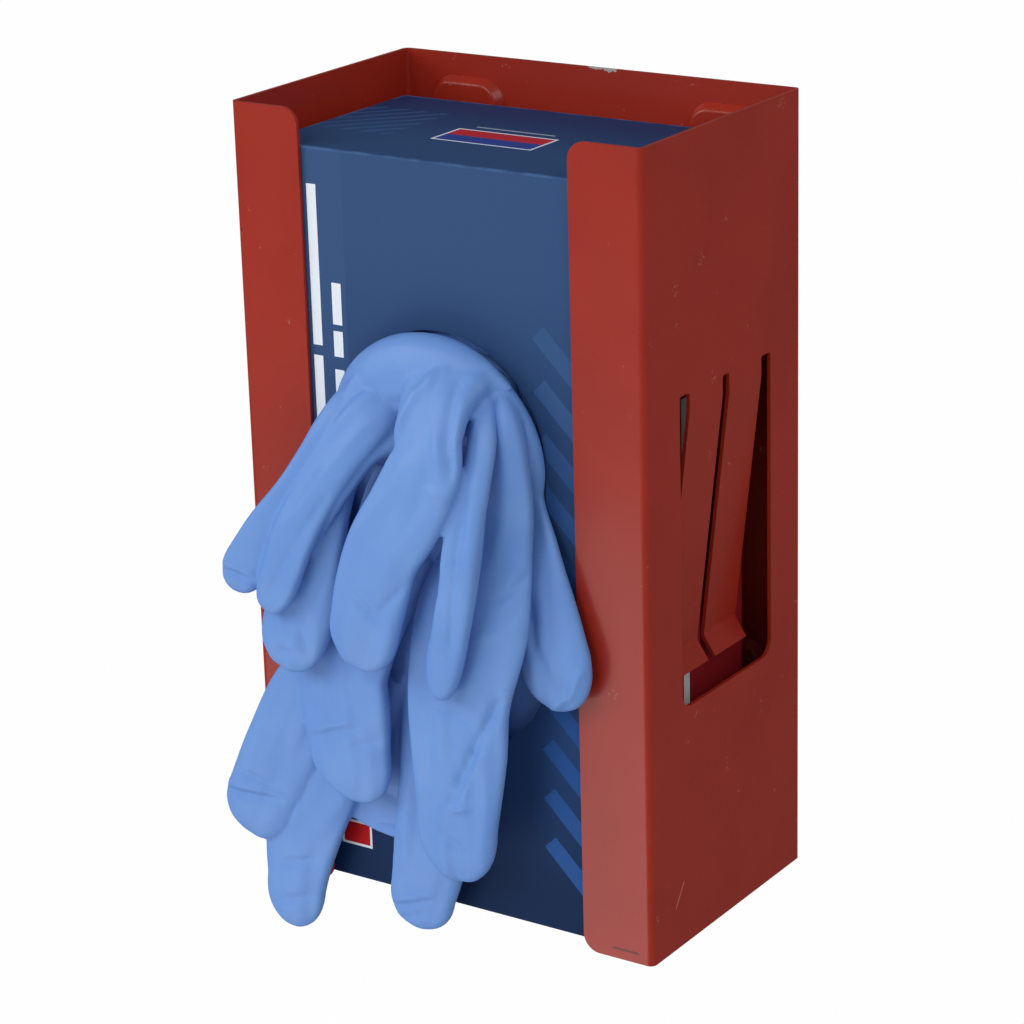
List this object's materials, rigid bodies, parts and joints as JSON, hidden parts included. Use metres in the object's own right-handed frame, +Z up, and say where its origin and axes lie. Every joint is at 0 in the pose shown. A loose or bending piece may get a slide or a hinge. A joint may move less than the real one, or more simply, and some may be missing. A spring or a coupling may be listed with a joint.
{
  "type": "disposable glove dispenser",
  "caption": "Folded red steel wall dispenser with spring fingers in its sides, holding a printed carton with gloves hanging from its oval opening.",
  "frame": {"origin": "centre of the back panel's rear face, which lies on the wall or cabinet that it is fixed to", "axes": "+Y out of the rear face into the wall, +Z up along the holder's height, +X to the right seen from the front"},
  "size_m": [0.1488, 0.122, 0.2645],
  "materials": {
    "powder_coat": "satin",
    "ferrite": "matte",
    "printed_card": "satin",
    "nitrile": "satin"
  },
  "bodies": {
    "root": {"holder": "powder_coat", "magnet_top_left": "ferrite", "magnet_top_right": "ferrite", "magnet_bottom_left": "ferrite", "magnet_bottom_right": "ferrite", "carton": "printed_card", "glove_stack": "nitrile", "glove_front": "nitrile", "glove_middle": "nitrile", "glove_back": "nitrile"}
  },
  "joints": []
}
